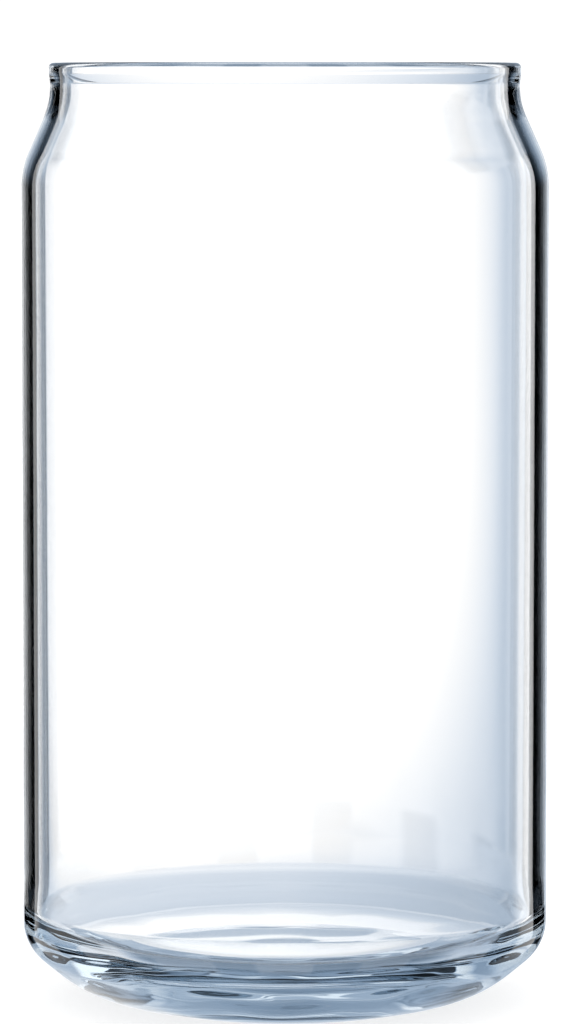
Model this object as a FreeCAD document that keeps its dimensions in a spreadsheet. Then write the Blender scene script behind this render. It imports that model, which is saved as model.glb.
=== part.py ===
# Can shaped drinking glass: one piece of clear glass, blown and fire polished.
# Units are millimetres, +Z is up, and the origin is the centre of the foot,
# on the surface that the glass stands on.
import FreeCAD, Part

import math
import os

import Sketcher

# The driving dimensions, each with its own cell in the sheet under the same name.
SIZES = [
    ("height", 133.7, "foot to top of the mouth"),
    ("body_radius", 37.5, "outside of the straight wall"),
    ("neck_step", 4.13, "how far the neck is drawn in from the wall"),
    ("neck_land", 2.8, "straight neck between the bead and the shoulder corner"),
    ("shoulder_slope", 24.2, "angle between shoulder and wall, in degrees"),
    ("neck_blend", 10.0, "hollow curve from neck to shoulder"),
    ("shoulder_blend", 12.9, "crowned curve from shoulder to wall"),
    ("bead_height", 2.8, "bead round the mouth, top to underside"),
    ("bead_step", 0.16, "how far the bead stands out from the neck"),
    ("bead_flank", 1.3, "height over which the bead swells from the neck"),
    ("bead_blend", 1.7, "curves at both ends of the bead's flank"),
    ("rim_round", 0.8, "rounding of the mouth, outside and inside"),
    ("neck_wall", 1.8, "thickness of the neck"),
    ("upper_wall", 2.0, "thickness just below the shoulder"),
    ("lower_wall", 2.1, "thickness just above the floor"),
    ("heel_inset", 7.87, "how far the heel's lower corner is set in from the wall"),
    ("heel_height", 8.22, "height of the corner between wall and heel"),
    ("heel_upper_blend", 6.5, "curve from wall to heel"),
    ("heel_lower_blend", 17.7, "curve from heel to sole"),
    ("sole_width", 6.87, "heel corner to the standing ring, level"),
    ("sole_slope", 13.3, "angle between sole and table, in degrees"),
    ("sole_blend", 1.7, "curve from sole to standing ring"),
    ("ring_width", 2.58, "flat ring that the glass stands on, corner to corner"),
    ("floor_height", 8.4, "glass under the inner floor's edge"),
    ("floor_dish", 0.76, "how much lower the inner floor is at its centre"),
    ("floor_blend", 5.66, "curve from inner wall to inner floor"),
    ("punt_depth", 1.4, "rise of the hollow underneath, at its centre"),
    ("foot_round", 2.45, "curve from the standing ring into that hollow"),
]

# Places that more than one outline needs, as expressions on the sheet's cells.
NECK_RADIUS = "(sizes.body_radius - sizes.neck_step)"
BEAD_RADIUS = "(sizes.body_radius - sizes.neck_step + sizes.bead_step)"
BORE_RADIUS = "(sizes.body_radius - sizes.neck_step - sizes.neck_wall)"
HEEL_RADIUS = "(sizes.body_radius - sizes.heel_inset)"
SOLE_RISE = "(sizes.sole_width * tan(sizes.sole_slope * 1 deg))"
RING_RADIUS = "(sizes.body_radius - sizes.heel_inset - sizes.sole_width)"
PUNT_RADIUS = "(sizes.body_radius - sizes.heel_inset - sizes.sole_width - sizes.ring_width)"
BEAD_FOOT = "(sizes.height - sizes.bead_height)"
BEAD_CREST = "(sizes.height - sizes.bead_height + sizes.bead_flank)"
NECK_CORNER = "(sizes.height - sizes.bead_height - sizes.neck_land)"
SHOULDER_CORNER = f"({NECK_CORNER} - sizes.neck_step / tan(sizes.shoulder_slope * 1 deg))"
INNER_CORNER = f"({SHOULDER_CORNER} - sizes.upper_wall * tan(sizes.shoulder_slope * 0.5 deg))"
WAIST_RADIUS = "(sizes.body_radius - sizes.upper_wall)"
CELLAR_RADIUS = "(sizes.body_radius - sizes.lower_wall)"
INNER_NECK = (
    f"({INNER_CORNER} + ({WAIST_RADIUS} - {BORE_RADIUS}) / tan(sizes.shoulder_slope * 1 deg))"
)
FLOOR_CENTRE = "(sizes.floor_height - sizes.floor_dish)"

# The names that a sketch gives to its origin, its upright axis and the ends of a curve.
ORIGIN, UPRIGHT = -1, -2
START, END, CENTRE = 1, 2, 3

WHOLE_TURN = 360.0
CUBIC_MM_PER_ML = 1000.0
RING_TOLERANCE = 0.01

# Halfway out from the axis, a shallow arc has risen a quarter of its depth.
HALFWAY = 0.5
SHALLOW_ARC_SHARE = HALFWAY * HALFWAY


def make_sheet(document):
    """The sheet of driving dimensions: name, number and meaning in each row."""
    sheet = document.addObject("Spreadsheet::Sheet", "sizes")
    for row, (name, amount, meaning) in enumerate(SIZES, start=1):
        sheet.set(f"A{row}", name)
        sheet.set(f"B{row}", str(amount))
        sheet.set(f"C{row}", meaning)
        sheet.setAlias(f"B{row}", name)
    document.recompute()


def number(owner, expression):
    """The number that an expression on the sheet gives now."""
    result = owner.evalExpression(expression)
    return float(getattr(result, "Value", result))


def start_section(body, name):
    """An empty sketch on the body's upright XZ plane: across is radius, up is height."""
    sketch = body.newObject("Sketcher::SketchObject", name)
    plane = next(item for item in body.Origin.OriginFeatures if item.Role == "XZ_Plane")
    sketch.AttachmentSupport = [(plane, "")]
    sketch.MapMode = "FlatFace"
    return sketch


def relate(sketch, kind, *places):
    """A constraint without a size, such as upright or coincident."""
    sketch.addConstraint(Sketcher.Constraint(kind, *places))


def dimension(sketch, name, kind, places, expression):
    """A constraint whose size follows an expression on the sheet."""
    guess = number(sketch, expression)
    if kind == "Angle":
        guess = math.radians(guess)
    index = sketch.addConstraint(Sketcher.Constraint(kind, *places, guess))
    sketch.renameConstraint(index, name)
    sketch.setExpression(f"Constraints.{name}", expression)


def add_lines(sketch, corners):
    """Straight lines from each corner to the next. Line number i starts at corner i."""
    points = [
        FreeCAD.Vector(number(sketch, radius), number(sketch, height), 0)
        for radius, height in corners
    ]
    for begin, end in zip(points, points[1:]):
        sketch.addGeometry(Part.LineSegment(begin, end), False)
    for line in range(len(points) - 2):
        relate(sketch, "Coincident", line, END, line + 1, START)


def check_section(document, sketch):
    """Solves a sketch and refuses one that isn't fully and freely determined."""
    document.recompute()
    if sketch.solve() != 0:
        raise RuntimeError(f"{sketch.Name} does not solve")
    if not sketch.FullyConstrained:
        raise RuntimeError(f"{sketch.Name} is not fully constrained")


def turn_section(document, body, sketch, kind, name):
    """Turns a section round its upright axis, to add glass or to take it away."""
    feature = body.newObject(kind, name)
    feature.Profile = sketch
    feature.ReferenceAxis = (sketch, ["V_Axis"])
    feature.Angle = WHOLE_TURN
    sketch.Visibility = False
    document.recompute()


def round_ring(document, body, name, rings, radius):
    """Rounds the sharp rings of the body's tip, each found by its radius and height."""
    base = body.Tip
    wanted = [(number(base, across), number(base, up)) for across, up in rings]
    edges = []
    for index, edge in enumerate(base.Shape.Edges, start=1):
        if edge.Degenerated or not isinstance(edge.Curve, Part.Circle):
            continue
        place = (edge.Curve.Radius, edge.Curve.Center.z)
        if any(math.dist(place, ring) < RING_TOLERANCE for ring in wanted):
            edges.append(f"Edge{index}")
    if len(edges) != len(rings):
        raise RuntimeError(f"{name}: found {len(edges)} of {len(rings)} rings")
    fillet = body.newObject("PartDesign::Fillet", name)
    fillet.Base = (base, edges)
    fillet.setExpression("Radius", radius)
    document.recompute()


def draw_outside(document, body):
    """The outside with sharp corners: foot, sole, heel, wall, shoulder, neck, bead, mouth."""
    sketch = start_section(body, "outer_section")
    add_lines(sketch, [
        ("0", "0"),
        (RING_RADIUS, "0"),
        (HEEL_RADIUS, SOLE_RISE),
        ("sizes.body_radius", "sizes.heel_height"),
        ("sizes.body_radius", SHOULDER_CORNER),
        (NECK_RADIUS, NECK_CORNER),
        (NECK_RADIUS, BEAD_FOOT),
        (BEAD_RADIUS, BEAD_CREST),
        (BEAD_RADIUS, "sizes.height"),
        ("0", "sizes.height"),
        ("0", "0"),
    ])
    foot, sole, heel, wall, shoulder, neck, flank, bead, mouth, axis = range(10)
    relate(sketch, "Coincident", axis, END, foot, START)
    relate(sketch, "Coincident", foot, START, ORIGIN, START)
    for line in (foot, mouth):
        relate(sketch, "Horizontal", line)
    for line in (wall, neck, bead, axis):
        relate(sketch, "Vertical", line)
    radius_of, rise = "DistanceX", "DistanceY"
    dimension(sketch, "body_radius", radius_of, (foot, START, wall, START), "sizes.body_radius")
    dimension(sketch, "sole_width", radius_of, (sole, START, sole, END), "sizes.sole_width")
    dimension(sketch, "sole_slope", "Angle", (foot, sole), "sizes.sole_slope")
    dimension(sketch, "heel_inset", radius_of, (sole, END, wall, START), "sizes.heel_inset")
    dimension(sketch, "heel_height", rise, (foot, END, wall, START), "sizes.heel_height")
    dimension(sketch, "neck_step", radius_of, (neck, START, wall, END), "sizes.neck_step")
    dimension(sketch, "shoulder_slope", "Angle", (wall, shoulder), "sizes.shoulder_slope")
    dimension(sketch, "neck_land", rise, (neck, START, neck, END), "sizes.neck_land")
    dimension(sketch, "bead_step", radius_of, (flank, START, flank, END), "sizes.bead_step")
    dimension(sketch, "bead_flank", rise, (flank, START, flank, END), "sizes.bead_flank")
    dimension(sketch, "bead_height", rise, (flank, START, bead, END), "sizes.bead_height")
    dimension(sketch, "height", rise, (axis, END, axis, START), "sizes.height")
    check_section(document, sketch)
    turn_section(document, body, sketch, "PartDesign::Revolution", "blank")


def round_outside(document, body):
    """The soft curves that blowing gives the outside."""
    sole_ring = [(RING_RADIUS, "0")]
    foot_ring = [(HEEL_RADIUS, SOLE_RISE)]
    heel_ring = [("sizes.body_radius", "sizes.heel_height")]
    shoulder_ring = [("sizes.body_radius", SHOULDER_CORNER)]
    neck_ring = [(NECK_RADIUS, NECK_CORNER)]
    bead_rings = [(NECK_RADIUS, BEAD_FOOT), (BEAD_RADIUS, BEAD_CREST)]
    round_ring(document, body, "sole_curve", sole_ring, "sizes.sole_blend")
    round_ring(document, body, "heel_lower_curve", foot_ring, "sizes.heel_lower_blend")
    round_ring(document, body, "heel_upper_curve", heel_ring, "sizes.heel_upper_blend")
    round_ring(document, body, "shoulder_curve", shoulder_ring, "sizes.shoulder_blend")
    round_ring(document, body, "neck_curve", neck_ring, "sizes.neck_blend")
    round_ring(document, body, "bead_curves", bead_rings, "sizes.bead_blend")


def draw_inside(document, body):
    """The hollow with sharp corners, over a floor that dips towards its centre."""
    sketch = start_section(body, "inner_section")
    add_lines(sketch, [
        (CELLAR_RADIUS, "sizes.floor_height"),
        (WAIST_RADIUS, INNER_CORNER),
        (BORE_RADIUS, INNER_NECK),
        (BORE_RADIUS, "sizes.height"),
        ("0", "sizes.height"),
        ("0", FLOOR_CENTRE),
    ])
    wall, shoulder, bore, mouth, axis = range(5)
    floor = add_dish(sketch, CELLAR_RADIUS, "sizes.floor_height", FLOOR_CENTRE)
    relate(sketch, "Coincident", floor, START, axis, END)
    relate(sketch, "Coincident", floor, END, wall, START)
    relate(sketch, "PointOnObject", axis, END, UPRIGHT)
    relate(sketch, "Horizontal", mouth)
    for line in (bore, axis):
        relate(sketch, "Vertical", line)
    radius_of, rise = "DistanceX", "DistanceY"
    here = (ORIGIN, START)
    dimension(sketch, "cellar_radius", radius_of, (*here, wall, START), CELLAR_RADIUS)
    dimension(sketch, "floor_height", rise, (*here, wall, START), "sizes.floor_height")
    dimension(sketch, "floor_centre", rise, (*here, axis, END), FLOOR_CENTRE)
    dimension(sketch, "waist_radius", radius_of, (*here, wall, END), WAIST_RADIUS)
    dimension(sketch, "inner_corner", rise, (*here, wall, END), INNER_CORNER)
    dimension(sketch, "bore_radius", radius_of, (*here, bore, START), BORE_RADIUS)
    dimension(sketch, "inner_neck", rise, (*here, bore, START), INNER_NECK)
    dimension(sketch, "height", rise, (*here, axis, START), "sizes.height")
    check_section(document, sketch)
    turn_section(document, body, sketch, "PartDesign::Groove", "hollow")


def add_dish(sketch, edge_radius, edge_height, centre_height):
    """A shallow arc centred on the axis, from the axis out to the edge given."""
    across = number(sketch, edge_radius)
    low, high = number(sketch, centre_height), number(sketch, edge_height)
    halfway_rise = (high - low) * SHALLOW_ARC_SHARE
    arc = Part.Arc(
        FreeCAD.Vector(0, low, 0),
        FreeCAD.Vector(across * HALFWAY, low + halfway_rise, 0),
        FreeCAD.Vector(across, high, 0),
    )
    index = sketch.addGeometry(arc, False)
    relate(sketch, "PointOnObject", index, CENTRE, UPRIGHT)
    return index


def round_inside(document, body):
    """The curves of the hollow: concentric with the outside above, a fillet at the floor."""
    inner_shoulder = "sizes.shoulder_blend - sizes.upper_wall"
    inner_neck = "sizes.neck_blend + sizes.neck_wall"
    floor_ring = [(CELLAR_RADIUS, "sizes.floor_height")]
    mouth_rings = [(BEAD_RADIUS, "sizes.height"), (BORE_RADIUS, "sizes.height")]
    round_ring(document, body, "floor_curve", floor_ring, "sizes.floor_blend")
    round_ring(document, body, "inner_shoulder", [(WAIST_RADIUS, INNER_CORNER)], inner_shoulder)
    round_ring(document, body, "inner_neck", [(BORE_RADIUS, INNER_NECK)], inner_neck)
    round_ring(document, body, "fire_polished_mouth", mouth_rings, "sizes.rim_round")


def draw_punt(document, body):
    """The shallow hollow underneath, which leaves a narrow ring to stand on."""
    sketch = start_section(body, "punt_section")
    add_lines(sketch, [(PUNT_RADIUS, "0"), ("0", "0"), ("0", "sizes.punt_depth")])
    base, axis = range(2)
    dome = add_dish(sketch, PUNT_RADIUS, "0", "sizes.punt_depth")
    relate(sketch, "Coincident", axis, END, dome, END)
    relate(sketch, "Coincident", dome, START, base, START)
    relate(sketch, "Coincident", axis, START, ORIGIN, START)
    relate(sketch, "Horizontal", base)
    relate(sketch, "Vertical", axis)
    dimension(sketch, "punt_radius", "DistanceX", (base, END, base, START), PUNT_RADIUS)
    dimension(sketch, "punt_depth", "DistanceY", (axis, START, axis, END), "sizes.punt_depth")
    check_section(document, sketch)
    turn_section(document, body, sketch, "PartDesign::Groove", "punt")
    round_ring(document, body, "standing_ring", [(PUNT_RADIUS, "0")], "sizes.foot_round")


def check_document(document, bodies):
    """Stops if any object failed, or a body is not one sound solid."""
    for item in document.Objects:
        if "Invalid" in item.State or "Error" in item.State:
            raise RuntimeError(f"{item.Label} failed: {item.State}")
    for body in bodies:
        if body.Shape.isNull() or not body.Shape.isValid():
            raise RuntimeError(f"{body.Label} has no valid shape")
        if len(body.Shape.Solids) != 1:
            raise RuntimeError(f"{body.Label} has {len(body.Shape.Solids)} solids")


def report(body):
    """Prints what the glass measures and how much glass is in it."""
    box = body.Shape.optimalBoundingBox()
    print(f"{body.Label}: {box.XLength:.2f} x {box.YLength:.2f} x {box.ZLength:.2f} mm")
    print(f"{body.Label}: {body.Shape.Volume / CUBIC_MM_PER_ML:.1f} ml of glass")


def main():
    document = FreeCAD.newDocument("tableware")
    make_sheet(document)
    body = document.addObject("PartDesign::Body", "can_glass")
    body.Label = "can_glass"
    draw_outside(document, body)
    round_outside(document, body)
    draw_inside(document, body)
    round_inside(document, body)
    draw_punt(document, body)
    document.recompute()
    check_document(document, [body])
    report(body)
    os.makedirs("parts", exist_ok=True)
    body.Shape.exportStep(os.path.join("parts", f"{body.Label}.step"))


main()
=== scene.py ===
# %% [markdown]
# # A can shaped drinking glass
#
# The real object is one piece of clear glass, blown in a mould that has the shape of a drinks can
# and then fire polished at the mouth. It has no print, no label and no loose part. What the eye
# sees is never the glass itself, but what the glass bends and mirrors: dark lines along its
# edges, a pale middle, and swirls in the thick base. So this lesson has three steps. The first
# turns a clean section into a smooth body, the second gives it a glass that bends light as the
# real one does, and the third builds the room of light that the glass shows.

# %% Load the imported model
import math

import bpy
from mathutils import Matrix, Vector


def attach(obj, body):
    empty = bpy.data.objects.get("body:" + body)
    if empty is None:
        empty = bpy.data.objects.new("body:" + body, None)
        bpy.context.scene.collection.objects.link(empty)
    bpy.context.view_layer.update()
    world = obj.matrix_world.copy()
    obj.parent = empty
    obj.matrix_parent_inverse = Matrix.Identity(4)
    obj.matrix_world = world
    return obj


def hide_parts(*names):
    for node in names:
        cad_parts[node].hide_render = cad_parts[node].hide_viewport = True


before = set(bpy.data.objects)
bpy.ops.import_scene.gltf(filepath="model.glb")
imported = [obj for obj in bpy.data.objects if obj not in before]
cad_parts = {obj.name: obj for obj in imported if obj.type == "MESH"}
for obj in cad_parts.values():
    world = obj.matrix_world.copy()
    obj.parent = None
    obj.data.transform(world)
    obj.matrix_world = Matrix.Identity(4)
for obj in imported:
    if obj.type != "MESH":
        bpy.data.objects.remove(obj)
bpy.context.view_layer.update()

MM = 1000

# %% [markdown]
# ## The section
#
# A mould-blown glass is round, so one half of its section says everything about its shape. The
# section is drawn as a designer would draw it: corners joined by straight lines, and each corner
# rounded by a radius. It starts on the axis under the base, goes out over the standing ring, up
# the outside, over the mouth and down the inside to the middle of the inner floor. All sizes are
# in metres.

# %% Sizes of the mouth, the neck and the wall
height = 0.1337
body_radius = 0.0375
neck_step = 0.00413
neck_land = 0.0028
bead_height = 0.0028
bead_flank = 0.0013
bead_step = 0.00016
shoulder_slope = math.radians(24.2)

neck_radius = body_radius - neck_step
bead_radius = neck_radius + bead_step
bead_foot = height - bead_height
bead_crest = bead_foot + bead_flank
neck_corner = bead_foot - neck_land
shoulder_corner = neck_corner - (body_radius - neck_radius) / math.tan(shoulder_slope)

print("The shoulder starts", round(shoulder_corner * MM, 2), "mm above the foot")

# %% Sizes of the heel and the foot
heel_height = 0.00822
heel_inset = 0.00787
sole_width = 0.00687
sole_slope = math.radians(13.3)
ring_width = 0.00258
punt_depth = 0.0014

heel_radius = body_radius - heel_inset
sole_rise = sole_width * math.tan(sole_slope)
ring_edge = heel_radius - sole_width
punt_radius = ring_edge - ring_width

print("The sole rises", round(sole_rise * MM, 2), "mm from the standing ring to the heel")

# %% Sizes of the inside
neck_wall = 0.0018
upper_wall = 0.0020
lower_wall = 0.0021
floor_height = 0.0084
floor_dish = 0.00076

bore_radius = neck_radius - neck_wall
waist_radius = body_radius - upper_wall
cellar_radius = body_radius - lower_wall
inner_corner = shoulder_corner - upper_wall * math.tan(shoulder_slope / 2)
inner_neck = inner_corner + (waist_radius - bore_radius) / math.tan(shoulder_slope)

print("The wall is", upper_wall * MM, "mm thick at the top and", lower_wall * MM, "mm at the floor")

# %% [markdown]
# ## How a corner is rounded
#
# A pen draws the section. It is one vertex of a mesh: extruding it draws a straight line, and
# spinning it round a centre draws a curve. For a rounded corner, the pen stops where the curve
# touches the first line, and turns until it runs along the second. Steps of 2.5 degrees keep each
# curve smooth enough that the light it bends shows no flats, and straight lines are drawn in
# short steps, because a long face beside a curve would carry the curve's shading with it.

# %% The pen's three moves
STEP_ANGLE = math.radians(2.5)
STEP_LENGTH = 0.0018


def flat(radius, rise):
    """A point of the section, drawn in the upright plane through the axis."""
    return Vector((radius, 0.0, rise))


def draw_line(pen, end):
    """Extrudes the pen's vertex along a straight line and returns where the pen is now."""
    steps = max(1, math.ceil((end - pen).length / STEP_LENGTH))
    for _ in range(steps):
        bpy.ops.mesh.extrude_region_move(TRANSFORM_OT_translate={"value": (end - pen) / steps})
    return end


def draw_curve(pen, centre, turn):
    """Spins the pen's vertex round a centre. A positive turn goes to the left."""
    steps = max(2, math.ceil(abs(turn) / STEP_ANGLE))
    bpy.ops.mesh.spin(steps=steps, angle=turn, center=centre, axis=(0, 1, 0))
    return centre + Matrix.Rotation(-turn, 3, "Y") @ (pen - centre)


def rounded_corner(before, corner, after, radius):
    """Where a corner's curve starts, the centre it turns round, and how far it turns."""
    arrive = (corner - before).normalized()
    leave = (after - corner).normalized()
    turn = math.atan2(arrive.x * leave.z - arrive.z * leave.x, arrive.dot(leave))
    start = corner - arrive * radius * math.tan(abs(turn) / 2)
    left = Vector((-arrive.z, 0.0, arrive.x))
    return start, start + left * math.copysign(radius, turn), turn


print("A quarter turn of the pen takes", math.ceil(math.pi / 2 / STEP_ANGLE), "steps")

# %% [markdown]
# ## The foot
#
# Under a blown glass there is a shallow hollow, the punt, so that it stands on a narrow ring and
# doesn't rock. The hollow is a flat dome, and a small curve leads from it into the ring. The pen
# starts at the top of the dome. The primitive that starts the mesh is a small plane whose four
# corners are merged into the one vertex that the pen needs.

# %% Start the mesh under the base
START_SIZE = 0.001
bpy.ops.object.select_all(action="DESELECT")
bpy.ops.mesh.primitive_plane_add(size=START_SIZE, location=(0, 0, 0))
glass = bpy.context.object
glass.name = "blown_glass"
glass.data.name = "blown_glass"
bpy.ops.object.mode_set(mode="EDIT")
bpy.ops.mesh.merge(type="CENTER")
bpy.ops.transform.translate(value=(0, 0, punt_depth))
pen = flat(0, punt_depth)

print("The pen starts on the axis,", round(pen.z * MM, 2), "mm above the table")

# %% Draw the hollow under the base
DOME_STEPS = 8
ring_round = 0.00245
dome_radius = (punt_radius**2 + punt_depth**2) / (2 * punt_depth)
dome_centre = flat(0, punt_depth - dome_radius)
ring_radius = math.sqrt((dome_radius + ring_round) ** 2 - (ring_round - dome_centre.z) ** 2)
dome_turn = math.atan2(ring_radius, ring_round - dome_centre.z)
for _ in range(DOME_STEPS):
    pen = draw_curve(pen, dome_centre, -dome_turn / DOME_STEPS)
pen = draw_curve(pen, flat(ring_radius, ring_round), dome_turn)

print("The flat of the standing ring starts", round(ring_radius * MM, 2), "mm from the axis")

# %% [markdown]
# ## Heel, wall, shoulder and mouth
#
# The heel curves from the ring into the straight wall, and the wall leans in at the shoulder like
# the top of a can. The neck ends in a small bead, which the flame leaves fully rounded. The pen
# follows the corners of the outside and then those of the inside, as far as the curve between
# wall and floor.

# %% The curve at each corner
sole_blend = 0.0017
heel_lower_blend = 0.0177
heel_upper_blend = 0.0065
shoulder_blend = 0.0129
neck_blend = 0.010
bead_blend = 0.0017
rim_round = 0.0008
inner_neck_blend = neck_blend + neck_radius - bore_radius
inner_shoulder_blend = shoulder_blend - upper_wall

corners = [
    (flat(ring_edge, 0), sole_blend),
    (flat(heel_radius, sole_rise), heel_lower_blend),
    (flat(body_radius, heel_height), heel_upper_blend),
    (flat(body_radius, shoulder_corner), shoulder_blend),
    (flat(neck_radius, neck_corner), neck_blend),
    (flat(neck_radius, bead_foot), bead_blend),
    (flat(bead_radius, bead_crest), bead_blend),
    (flat(bead_radius, height), rim_round),
    (flat(bore_radius, height), rim_round),
    (flat(bore_radius, inner_neck), inner_neck_blend),
    (flat(waist_radius, inner_corner), inner_shoulder_blend),
]
wall_end = flat(cellar_radius, floor_height)

print("The section has", len(corners), "rounded corners between the foot and the inner wall")

# %% Draw the outside, the mouth and the inner wall
before = flat(0, 0)
for (corner, radius), (after, _) in zip(corners, corners[1:] + [(wall_end, 0)]):
    start, centre, turn = rounded_corner(before, corner, after, radius)
    pen = draw_line(pen, start)
    pen = draw_curve(pen, centre, turn)
    before = corner

print("The pen is inside now,", round(pen.z * MM, 2), "mm above the foot")

# %% [markdown]
# ## The inner floor
#
# Inside, the wall runs into a floor that is slightly dished, because the glass there stays hot
# longest and sags. The curve between them touches the sloping wall on one side and the dish on
# the other, so its centre is found where it is as far from the wall as from the dish.

# %% Find the curve between wall and floor
floor_blend = 0.00566
dish_radius = (cellar_radius**2 + floor_dish**2) / (2 * floor_dish)
dish_centre = flat(0, floor_height - floor_dish + dish_radius)
down = (wall_end - before).normalized()
inward = Vector((down.z, 0, -down.x))
reach = dish_radius - floor_blend
aim = wall_end + inward * floor_blend - dish_centre
along = -aim.dot(down) + math.sqrt(aim.dot(down) ** 2 - aim.length_squared + reach**2)
blend_centre = wall_end + inward * floor_blend + down * along

print("The floor's curve turns round a point", round(blend_centre.x * MM, 2), "mm from the axis")

# %% Draw the curve at the floor, and the dish
DISH_STEPS = 12
pen = draw_line(pen, blend_centre - inward * floor_blend)
out = (blend_centre - dish_centre).normalized()
floor_turn = math.atan2(-inward.x * out.z + inward.z * out.x, (-inward).dot(out))
pen = draw_curve(pen, blend_centre, -abs(floor_turn))
dish_turn = math.atan2(pen.x, dish_centre.z - pen.z)
for _ in range(DISH_STEPS):
    pen = draw_curve(pen, dish_centre, -dish_turn / DISH_STEPS)

print("The inner floor's middle is", round(pen.z * MM, 2), "mm above the foot")

# %% [markdown]
# ## From section to glass
#
# Spinning the section once round the axis makes the whole body. The points on the axis and the
# seam fall on each other, so doubles are merged, and then the normals are turned outward: inside
# a glass, outward means towards the drink. Smooth shading makes one continuous surface of it.

# %% Spin the section round the axis
ROUND_STEPS = 256
SAME_PLACE = 0.000005
bpy.ops.mesh.select_all(action="SELECT")
bpy.ops.mesh.spin(steps=ROUND_STEPS, angle=2 * math.pi, center=(0, 0, 0), axis=(0, 0, 1))
bpy.ops.mesh.select_all(action="SELECT")
bpy.ops.mesh.remove_doubles(threshold=SAME_PLACE)
bpy.ops.mesh.normals_make_consistent(inside=False)
bpy.ops.object.mode_set(mode="OBJECT")
bpy.ops.object.shade_smooth()

triangles = sum(len(face.vertices) - 2 for face in glass.data.polygons)
glass_sides = [round(side * MM, 2) for side in glass.dimensions]
print("The glass has", triangles, "triangles and is", glass_sides, "mm")

# %% Join the glass to the model
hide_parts("can_glass")
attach(glass, "root")

print(glass.name, "stands in for the node can_glass and rides on the body root")

# %% [markdown]
# ## The glass itself
#
# Clear table glass bends light with an index of about 1.52. It is very clear, but a thick base
# shows a breath of blue-grey, so the inside of the mesh absorbs a little, and the longer the way
# through the glass, the more.

# %% Make the clear glass
GLASS_INDEX = 1.52
GLASS_TINT = (0.55, 0.68, 0.78, 1.0)
TINT_PER_METRE = 15.0
WHITE = (1.0, 1.0, 1.0, 1.0)

clear = bpy.data.materials.new("clear_glass")
clear.use_nodes = True
nodes, links = clear.node_tree.nodes, clear.node_tree.links
shader = nodes["Principled BSDF"]
shader.inputs["Base Color"].default_value = WHITE
shader.inputs["Roughness"].default_value = 0.0
shader.inputs["IOR"].default_value = GLASS_INDEX
shader.inputs["Transmission Weight"].default_value = 1.0
absorb = nodes.new("ShaderNodeVolumeAbsorption")
absorb.inputs["Color"].default_value = GLASS_TINT
absorb.inputs["Density"].default_value = TINT_PER_METRE
links.new(absorb.outputs["Volume"], nodes["Material Output"].inputs["Volume"])
glass.data.materials.clear()
glass.data.materials.append(clear)

print("The clear glass bends light with an index of", GLASS_INDEX)

# %% [markdown]
# ## Waves in the base
#
# Blown glass is never quite even: slow waves are left in its surface, and they bend what is seen
# through it. They are too low to model, so they are bump. The wall is almost free of them, and
# the thick base has most, so the waves grow from above the inner floor down to the heel.

# %% Make the waves
WAVES_PER_METRE = 60.0
WAVE_DEPTH = 0.0002
WAVE_STRENGTH = 0.05
WAVES_START, WAVES_FULL = 0.018, 0.008
WALL_WAVES, BASE_WAVES = 1.0, 60.0

place = nodes.new("ShaderNodeTexCoord")
waves = nodes.new("ShaderNodeTexNoise")
waves.inputs["Scale"].default_value = WAVES_PER_METRE
waves.inputs["Detail"].default_value = 1.0
links.new(place.outputs["Object"], waves.inputs["Vector"])
height_axis = nodes.new("ShaderNodeSeparateXYZ")
links.new(place.outputs["Object"], height_axis.inputs["Vector"])
in_base = nodes.new("ShaderNodeMapRange")
in_base.interpolation_type = "SMOOTHSTEP"
in_base.inputs["From Min"].default_value = WAVES_START
in_base.inputs["From Max"].default_value = WAVES_FULL
in_base.inputs["To Min"].default_value = WALL_WAVES
in_base.inputs["To Max"].default_value = BASE_WAVES
links.new(height_axis.outputs["Z"], in_base.inputs["Value"])

print("The waves are full", WAVES_FULL * MM, "mm above the foot and fade at", WAVES_START * MM)

# %% Lay the waves on the glass
swell = nodes.new("ShaderNodeMath")
swell.operation = "MULTIPLY"
links.new(waves.outputs["Fac"], swell.inputs[0])
links.new(in_base.outputs["Result"], swell.inputs[1])
bump = nodes.new("ShaderNodeBump")
bump.inputs["Strength"].default_value = WAVE_STRENGTH
bump.inputs["Distance"].default_value = WAVE_DEPTH
links.new(swell.outputs["Value"], bump.inputs["Height"])
links.new(bump.outputs["Normal"], shader.inputs["Normal"])

print("The glass's material has", len(nodes), "nodes")

# %% [markdown]
# ## The light tent
#
# A glass is photographed in a tent of white cloth. A soft box behind it makes its middle pale, and
# the dark gaps between the box and the side lights, seen through the edges of the glass, draw its
# outline. The tent is a sphere that only the glass sees: the camera looks through it at a plain
# white room. Its brightness changes with the direction, so it is painted by the direction from
# the glass, which on a sphere round the origin is the Object coordinate.

# %% Make the tent
TENT_RADIUS = 2.5
TENT_SIDES, TENT_RINGS = 96, 48
bpy.ops.object.select_all(action="DESELECT")
bpy.ops.mesh.primitive_uv_sphere_add(
    segments=TENT_SIDES, ring_count=TENT_RINGS, radius=TENT_RADIUS, location=(0, 0, 0)
)
tent = bpy.context.object
tent.name = "light_tent"
bpy.ops.object.shade_smooth()

print("The tent is", 2 * TENT_RADIUS, "m across")

# %% [markdown]
# ## Paint for the lights
#
# Each light is one level of brightness, painted with a few sums and ramps. A level below 1 is
# never a neutral grey in such a photograph: cloth that gets less light shows the cool light of the
# room, so it is tinted towards blue by as much as it is dimmed. A colour ramp holds nothing above
# 1, so the ramps hold each level as a share of the brightest one. A ramp is also stored in coarse
# steps, so the crisp edge of a light is made with a smooth range instead.

# %% Helpers for the paint
BRIGHTEST = 1.6
COOL_SHADE = (0.65, 1.0, 1.45, 1.0)


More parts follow.
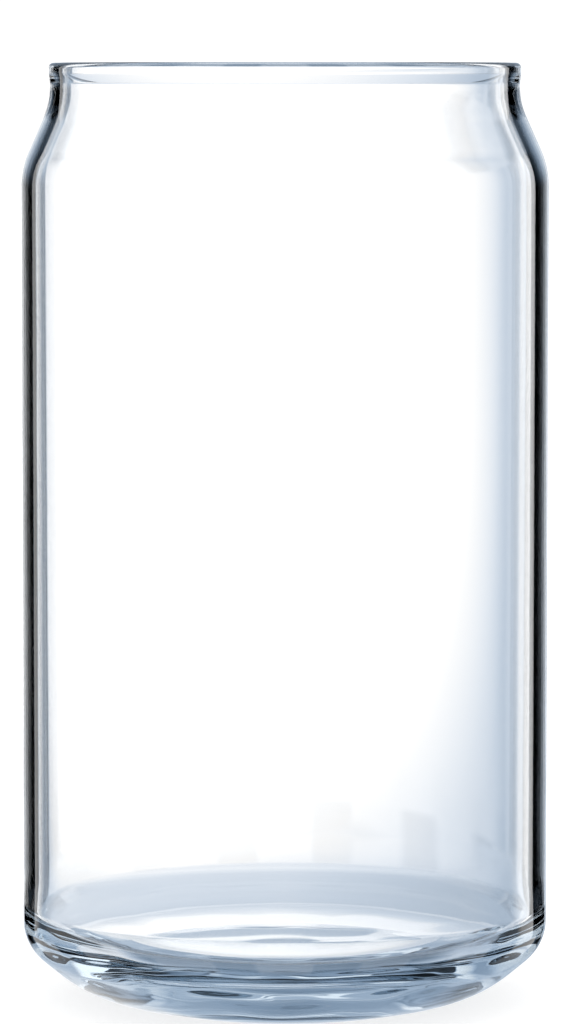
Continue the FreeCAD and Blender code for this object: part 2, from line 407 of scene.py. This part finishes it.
class Paint:
    """An emission whose level is built from sums, ramps and ranges."""

    def __init__(self, name):
        self.material = bpy.data.materials.new(name)
        self.material.use_nodes = True
        self.material.cycles.emission_sampling = "NONE"
        self.nodes = self.material.node_tree.nodes
        self.links = self.material.node_tree.links
        self.nodes.clear()
        self.place = self.nodes.new("ShaderNodeTexCoord").outputs["Object"]

    def feed(self, sockets, values):
        """Gives each socket its value, which is another socket or a number."""
        for socket, value in zip(sockets, values):
            if isinstance(value, (int, float)):
                socket.default_value = value
            else:
                self.links.new(value, socket)

    def axes(self, vector):
        """The three parts of a vector."""
        node = self.nodes.new("ShaderNodeSeparateXYZ")
        self.links.new(vector, node.inputs["Vector"])
        return node.outputs["X"], node.outputs["Y"], node.outputs["Z"]

    def math(self, operation, *values):
        """One sum."""
        node = self.nodes.new("ShaderNodeMath")
        node.operation = operation
        self.feed(node.inputs, values)
        return node.outputs["Value"]

    def distance(self, first, second):
        """How far a point with these two coordinates is from the middle."""
        squares = self.math("POWER", first, 2.0), self.math("POWER", second, 2.0)
        return self.math("SQRT", self.math("ADD", *squares))

    def blend(self, share, first, second):
        """The first level where the share is 0, the second where it is 1."""
        node = self.nodes.new("ShaderNodeMix")
        node.clamp_factor = True
        self.feed(node.inputs[0:1] + node.inputs[2:4], (share, first, second))
        return node.outputs[0]

    def ramp(self, value, low, high, stops):
        """Shares along a value that runs from low to high."""
        share = self.nodes.new("ShaderNodeMapRange")
        share.inputs["From Min"].default_value = low
        share.inputs["From Max"].default_value = high
        self.links.new(value, share.inputs["Value"])
        node = self.nodes.new("ShaderNodeValToRGB")
        elements = node.color_ramp.elements
        while len(elements) < len(stops):
            elements.new(0.5)
        for element, (at, level) in zip(elements, stops):
            element.position = (at - low) / (high - low)
            element.color = (level, level, level, 1.0)
        self.links.new(share.outputs["Result"], node.inputs["Fac"])
        return node.outputs["Color"]

    def levels(self, value, low, high, stops):
        """Levels of light along a value, each as a share of the brightest."""
        return self.ramp(value, low, high, [(at, level / BRIGHTEST) for at, level in stops])

    def between(self, value, low, high, soft):
        """1 between two limits and 0 outside them, with soft edges."""
        shares = []
        for edge, inner in ((low, low + soft), (high, high - soft)):
            node = self.nodes.new("ShaderNodeMapRange")
            node.interpolation_type = "SMOOTHSTEP"
            node.inputs["From Min"].default_value = edge
            node.inputs["From Max"].default_value = inner
            self.links.new(value, node.inputs["Value"])
            shares.append(node.outputs["Result"])
        return self.math("MULTIPLY", *shares)

    def outside(self, value, low, high, soft):
        """0 between two limits and 1 outside them, with soft edges."""
        return self.math("SUBTRACT", 1.0, self.between(value, low, high, soft))

    def finish(self, level, cover=None):
        """Lets the material glow at this level, and lets light through where cover is 0."""
        level = self.math("MULTIPLY", level, BRIGHTEST)
        tint = self.nodes.new("ShaderNodeMix")
        tint.data_type = "RGBA"
        tint.clamp_factor = True
        tint.clamp_result = False
        tint.inputs[6].default_value = WHITE
        tint.inputs[7].default_value = COOL_SHADE
        self.links.new(self.math("SUBTRACT", 1.0, level), tint.inputs[0])
        glow = self.nodes.new("ShaderNodeEmission")
        self.links.new(tint.outputs[2], glow.inputs["Color"])
        self.links.new(level, glow.inputs["Strength"])
        look = glow.outputs["Emission"]
        if cover is not None:
            edge_mix = self.nodes.new("ShaderNodeMixShader")
            see_through = self.nodes.new("ShaderNodeBsdfTransparent").outputs["BSDF"]
            for socket, source in zip(edge_mix.inputs, (cover, see_through, look)):
                self.links.new(source, socket)
            look = edge_mix.outputs["Shader"]
        surface = self.nodes.new("ShaderNodeOutputMaterial")
        self.links.new(look, surface.inputs["Surface"])


print("The ramps hold levels of light up to", BRIGHTEST)

# %% [markdown]
# ## Directions on the tent
#
# Two angles say where a point of the cloth is, both in degrees. The turn is 0 straight behind the
# glass, grows to the right and is 180 behind the camera. The rise is 0 at the height of the foot
# and 90 straight above it. The photograph sees only some directions: through the wall it sees
# what is behind the glass and a little lower, and in the edges of the wall and in the base it
# sees far to the sides and down. So each part of the cloth is painted for one part of the glass.

# %% The two angles
DEGREE = 180 / math.pi
BEHIND_CAMERA = 180
STRAIGHT_UP = 90

cloth = Paint("tent_cloth")
unit = cloth.nodes.new("ShaderNodeVectorMath")
unit.operation = "NORMALIZE"
cloth.links.new(cloth.place, unit.inputs[0])
right, behind, up = cloth.axes(unit.outputs["Vector"])
turn = cloth.math("MULTIPLY", cloth.math("ARCTAN2", right, behind), DEGREE)
rise = cloth.math("MULTIPLY", cloth.math("ARCSINE", up), DEGREE)


def levels_round(stops):
    """Levels of light by the turn, all the way round."""
    return cloth.levels(turn, -BEHIND_CAMERA, BEHIND_CAMERA, stops)


def share_below(value, full, none, top=STRAIGHT_UP):
    """1 where a rise is below the full one, and 0 where it is above the other."""
    return cloth.ramp(value, -STRAIGHT_UP, top, [(-STRAIGHT_UP, 1), (full, 1), (none, 0), (top, 0)])


print("The turn runs from", -BEHIND_CAMERA, "to", BEHIND_CAMERA, "degrees")

# %% [markdown]
# ## The soft box
#
# The pale middle of the glass is the soft box, seen straight through both walls. It stands a
# little to the left, and its light falls off all round, slowly to the sides, quicker downwards
# and quickest upwards: that is the grey shade in the lower right of the photograph. Its right
# end has a brighter edge, and both ends are cut off sharply, because the edge of a wall shows
# them as clean stripes.

# %% Paint the soft box
BOX_MIDDLE, BOX_STRETCH = -6.0, 1.7
BOX_HALF_HEIGHT, BOX_CLIMB = 2.0, 1.3
BOX_REACH = 20
BOX_LEVELS = [
    (0, 1.35), (6.0, 1.25), (6.7, 1.12), (7.3, 1.0), (8.0, 0.88), (8.8, 0.74), (9.7, 0.63),
    (10.5, 0.6), (12, 0.5), (14, 0.4), (18, 0.2),
]
BOX_ENDS, BOX_END_SOFT = (-15.4, 16.7), 0.8
EDGE_ENDS, EDGE_SOFT, EDGE_LEVEL = (12.6, 17.0), 1.5, 0.35

box_side = cloth.math("DIVIDE", cloth.math("ADD", turn, -BOX_MIDDLE), BOX_STRETCH)
box_fall = cloth.math("SUBTRACT", cloth.math("MULTIPLY", rise, -1.0), BOX_HALF_HEIGHT)
box_climb = cloth.math("MULTIPLY", cloth.math("SUBTRACT", rise, BOX_HALF_HEIGHT), BOX_CLIMB)
box_rise = cloth.math("MAXIMUM", cloth.math("MAXIMUM", box_fall, box_climb), 0.0)
box = cloth.levels(cloth.distance(box_side, box_rise), 0, BOX_REACH, BOX_LEVELS)
edge = cloth.between(turn, *EDGE_ENDS, EDGE_SOFT)
box = cloth.math("ADD", box, cloth.math("MULTIPLY", edge, EDGE_LEVEL / BRIGHTEST))
box = cloth.math("MULTIPLY", box, cloth.between(turn, *BOX_ENDS, BOX_END_SOFT))

print("The soft box runs from", BOX_ENDS[0], "to", BOX_ENDS[1], "degrees")

# %% [markdown]
# ## The side lights
#
# Beyond the box there is a dark gap on each side, and then come the side lights. The wall's edges
# bend the view round so far that the gap is the dark band along each edge, and the side light is
# the bright line in it. The cloth behind the camera is bright too, for the faint reflections on
# the front. Above the box, a dim glow fills the gaps, as it shows in the shoulders.

# %% Paint the side lights and the gaps
SIDE_LEVELS = [
    (-180, 1.3), (-120, 1.3), (-90, 1.1), (-64, 1.05), (-56, 0.85), (-50, 0.42), (-45, 0.42),
    (-42, 0.95), (-38, 1.25), (0, 1.25), (30, 1.6), (53, 1.6), (58, 0.6), (70, 0.6), (90, 1.0),
    (120, 1.2), (180, 1.3),
]
SIDE_GAP, SIDE_SOFT = (-38.5, 40.8), 0.8
GAP_LOW, GAP_HIGH = -40, 44
GAP_LEVELS = [
    (-36, 0), (-28, 0), (-24, 0.25), (-16, 0.45), (-14, 0), (16, 0), (18, 0.45), (25, 0.2),
    (29, 0), (40, 0),
]
GLOW_RISES, GLOW_SOFT = (1.0, 60.0), 6.0

sides = cloth.math("MULTIPLY", levels_round(SIDE_LEVELS), cloth.outside(turn, *SIDE_GAP, SIDE_SOFT))
gap = cloth.levels(turn, GAP_LOW, GAP_HIGH, GAP_LEVELS)
gap = cloth.math("MULTIPLY", gap, cloth.between(rise, *GLOW_RISES, GLOW_SOFT))
band = cloth.math("ADD", box, cloth.math("ADD", sides, gap))

print("The side lights start", SIDE_GAP[1], "degrees to the right of the middle")

# %% [markdown]
# ## Upright sheets all round
#
# From the side or from behind, the glass has other cloth at its back, and evenly lit cloth would
# make it vanish. So below the height of the camera, pale sheets hang all round at every 45
# degrees, with dark gaps between them. A sheet fills the middle of the glass, and its gaps draw
# the outline, as the soft box does in front. The part that the photograph sees is left out: it is
# wide near the height of the camera, and narrower further down.

# %% Paint the sheets
SHEET_EVERY = 45
SHEET_LEVELS = [(0, 1.2), (11.5, 1.2), (14, 0.1), (22.5, 0.1)]
SHEETS_FULL, SHEETS_NONE = -12, -10
LEFT_OUT, LEFT_OUT_SOFT = (-52.0, 58.0), 6.0
LOW_LEFT_OUT, LOW_LEFT_OUT_SOFT = (-30.0, 30.0), 4.0
LOW_FULL, LOW_NONE = -12.5, -10.5

around = cloth.outside(turn, *LEFT_OUT, LEFT_OUT_SOFT)
around_low = cloth.outside(turn, *LOW_LEFT_OUT, LOW_LEFT_OUT_SOFT)
around = cloth.blend(share_below(rise, LOW_FULL, LOW_NONE), around, around_low)
from_sheet = cloth.math("PINGPONG", turn, SHEET_EVERY / 2)
sheets = cloth.levels(from_sheet, 0, SHEET_EVERY / 2, SHEET_LEVELS)
sheets_share = cloth.math("MULTIPLY", around, share_below(rise, SHEETS_FULL, SHEETS_NONE))
band = cloth.blend(sheets_share, band, sheets)

print("The sheets hang below", SHEETS_NONE, "degrees, one every", SHEET_EVERY, "degrees")

# %% [markdown]
# ## The dim cloth below and above
#
# The base looks steeply down, and the mouth and the shoulders look up. The cloth there is dim and
# uneven, which gives the base its blue-grey and the mouth its thin dark line. Under the sheets it
# starts lower down. Right at the bottom the cloth is bright again, so that the glass is clear
# when it is seen from above. Over the soft box the dim cloth starts lower than elsewhere.

# %% Paint the cloth below
LOW_LEVELS = [
    (-180, 0.6), (-120, 0.6), (-60, 0.4), (-30, 0.25), (-6, 0.4), (2, 0.4), (30, 0.2), (60, 0.4),
    (120, 0.5), (180, 0.6),
]
LOW_CLOTH_FULL, LOW_CLOTH_NONE = -28, -20
LOW_DROP, LOW_TOP = 14.0, 110
GROUND_LEVEL, GROUND_FULL, GROUND_NONE = 1.1, -57, -52

lower_rise = cloth.math("ADD", rise, cloth.math("MULTIPLY", around, LOW_DROP))
low_share = share_below(lower_rise, LOW_CLOTH_FULL, LOW_CLOTH_NONE, LOW_TOP)
ground_share = share_below(rise, GROUND_FULL, GROUND_NONE)
low = cloth.blend(ground_share, levels_round(LOW_LEVELS), GROUND_LEVEL / BRIGHTEST)

print("The ground is bright below", GROUND_NONE, "degrees")

# %% Paint the cloth above, and hang it all on the tent
HIGH_LEVELS = [
    (-180, 1.0), (-120, 0.6), (-80, 0.4), (-45, 0.6), (-20, 0.5), (0, 0.36), (15, 0.5), (40, 0.9),
    (90, 0.7), (180, 1.0),
]
OVER_BOX, OVER_BOX_SOFT, OVER_BOX_DROP = (-16.0, 18.0), 4.0, 10.0
HIGH_NONE, HIGH_FULL, HIGH_TOP = 14.8, 20.5, 100

over_box = cloth.between(turn, *OVER_BOX, OVER_BOX_SOFT)
higher_rise = cloth.math("ADD", rise, cloth.math("MULTIPLY", over_box, OVER_BOX_DROP))
high_stops = [(-STRAIGHT_UP, 0), (HIGH_NONE, 0), (HIGH_FULL, 1), (HIGH_TOP, 1)]
high_share = cloth.ramp(higher_rise, -STRAIGHT_UP, HIGH_TOP, high_stops)
level = cloth.blend(low_share, band, low)
level = cloth.blend(high_share, level, levels_round(HIGH_LEVELS))
cloth.finish(level)
tent.data.materials.append(cloth.material)

print("The cloth's material has", len(cloth.nodes), "nodes")

# %% [markdown]
# ## The light table
#
# The glass stands on a sheet that glows. It is brightest right under the hollow of the foot, pale
# under the sole, and dimmer beyond the wall. In front of the standing ring a painted shadow of the
# glass darkens it, which gives the base its dark lines, and it leans from bright on the left to dim
# on the right. Like the tent, it is seen by the glass only. It is little wider than the glass, and
# its edges fade to nothing, because a hard edge would show through the wall.

# %% Make the light table
TABLE_WIDTH = 0.10
TABLE_DEPTH = 0.24
TABLE_DROP = -0.0001
bpy.ops.object.select_all(action="DESELECT")
bpy.ops.mesh.primitive_plane_add(size=1.0, location=(0, 0, TABLE_DROP))
bpy.ops.transform.resize(value=(TABLE_WIDTH, TABLE_DEPTH, 1.0))
bpy.ops.object.transform_apply(location=False, rotation=False, scale=True)
table = bpy.context.object
table.name = "light_table"

print("The light table is", [round(side * MM) for side in table.dimensions], "mm")

# %% Paint the light table
TABLE_LEVELS = [
    (0, 1.35), (0.018, 1.3), (0.021, 1.0), (0.031, 0.9), (0.035, 0.75), (0.039, 0.64),
    (0.06, 0.64), (0.075, 0.7), (0.09, 0.82), (0.12, 0.95),
]
LEAN_LEVELS = [(-0.045, 1.1), (-0.03, 1.1), (0, 1.0), (0.03, 0.72), (0.045, 0.68)]
FRONT_END, SIDE_END = 0.06, 0.06
FRONT_SHADOW_SHARES = [(-0.06, 0.35), (-0.026, 0.35), (-0.02, 1.0)]
SIDE_COVER = [(0, 1), (0.038, 1), (0.05, 0), (0.06, 0)]
END_COVER = [(-0.048, 0), (-0.038, 1), (0.09, 1), (0.12, 0)]

sheet = Paint("table_sheet")
sheet_x, sheet_y, _ = sheet.axes(sheet.place)
from_middle = sheet.distance(sheet_x, sheet_y)
glow_level = sheet.levels(from_middle, 0, TABLE_DEPTH / 2, TABLE_LEVELS)
# The dark strip in front of the standing ring is a painted shadow of the glass on the glowing
# sheet.
front_shadow = sheet.ramp(sheet_y, -FRONT_END, FRONT_END, FRONT_SHADOW_SHARES)
lean = sheet.levels(sheet_x, -TABLE_WIDTH / 2, TABLE_WIDTH / 2, LEAN_LEVELS)
lean = sheet.math("MULTIPLY", lean, BRIGHTEST)
glow_level = sheet.math("MULTIPLY", sheet.math("MULTIPLY", glow_level, front_shadow), lean)
side_cover = sheet.ramp(sheet.math("ABSOLUTE", sheet_x), 0, SIDE_END, SIDE_COVER)
end_cover = sheet.ramp(sheet_y, -FRONT_END, TABLE_DEPTH / 2, END_COVER)
sheet.finish(glow_level, sheet.math("MULTIPLY", side_cover, end_cover))
table.data.materials.append(sheet.material)

print("The table's material has", len(sheet.nodes), "nodes")

# %% Show both lights to the glass only
for light in (tent, table):
    light.visible_camera = False
    light.visible_diffuse = False
    light.visible_shadow = False
    light.visible_volume_scatter = False

print("Only reflected and bent rays see", tent.name, "and", table.name)

# %% [markdown]
# ## Floor and room
#
# The camera sees a plain white room and a plain pale floor. The glass doesn't see the floor,
# because it looks at the lower half of the tent instead, as if it stood on a clear sheet in the
# middle of the tent. The floor still sees the glass, and shows where it stands.

# %% Make the floor
FLOOR_RADIUS, FLOOR_SIDES = 3.0, 96
FLOOR_GREY = (0.4, 0.4, 0.4, 1.0)
FLOOR_GLOW = 0.75
FLOOR_ROUGHNESS = 0.9
bpy.ops.object.select_all(action="DESELECT")
bpy.ops.mesh.primitive_circle_add(
    vertices=FLOOR_SIDES, radius=FLOOR_RADIUS, fill_type="NGON", location=(0, 0, 0)
)
floor = bpy.context.object
floor.name = "pale_floor"
floor.visible_transmission = False
floor.visible_glossy = False
pale = bpy.data.materials.new("pale_floor")
pale.use_nodes = True
pale_shader = pale.node_tree.nodes["Principled BSDF"]
pale_shader.inputs["Base Color"].default_value = FLOOR_GREY
pale_shader.inputs["Emission Color"].default_value = WHITE
pale_shader.inputs["Emission Strength"].default_value = FLOOR_GLOW
pale_shader.inputs["Roughness"].default_value = FLOOR_ROUGHNESS
pale_shader.inputs["Specular IOR Level"].default_value = 0.0
floor.data.materials.append(pale)

print("The floor is", 2 * FLOOR_RADIUS, "m across")

# %% Light the room
ROOM_LIGHT = 1.1
BOUNCES = 32
room = bpy.data.worlds.new("white_room")
room.use_nodes = True
room.node_tree.nodes["Background"].inputs["Color"].default_value = WHITE
room.node_tree.nodes["Background"].inputs["Strength"].default_value = ROOM_LIGHT
scene = bpy.context.scene
scene.world = room
scene.view_settings.view_transform = "Standard"
scene.cycles.max_bounces = BOUNCES
scene.cycles.transmission_bounces = BOUNCES
scene.cycles.glossy_bounces = BOUNCES

print("Light may pass", BOUNCES, "surfaces of the glass")

# %% [markdown]
# ## Camera
#
# The photograph was taken with a long lens from just above the mouth's height: the mouth is a
# thin line, and the base shows its round edge. The camera stands a hair above the mouth, looks
# down about five degrees, and needs no shift.

# %% Place the camera
CAMERA_PLACE = (-0.00016, -0.745, 0.13515)
LOOK_DOWN = 5.018
LENS, SENSOR_WIDTH = 184.1, 36.0
CLIP_START, CLIP_END = 0.05, 20.0
bpy.ops.object.camera_add(
    location=CAMERA_PLACE, rotation=(math.radians(STRAIGHT_UP - LOOK_DOWN), 0, 0)
)
camera = bpy.context.object
camera.name = "photo_camera"
camera.data.sensor_width = SENSOR_WIDTH
camera.data.lens = LENS
camera.data.clip_start = CLIP_START
camera.data.clip_end = CLIP_END
scene.camera = camera

print("The camera is", round((CAMERA_PLACE[2] - height) * MM, 2), "mm above the mouth")
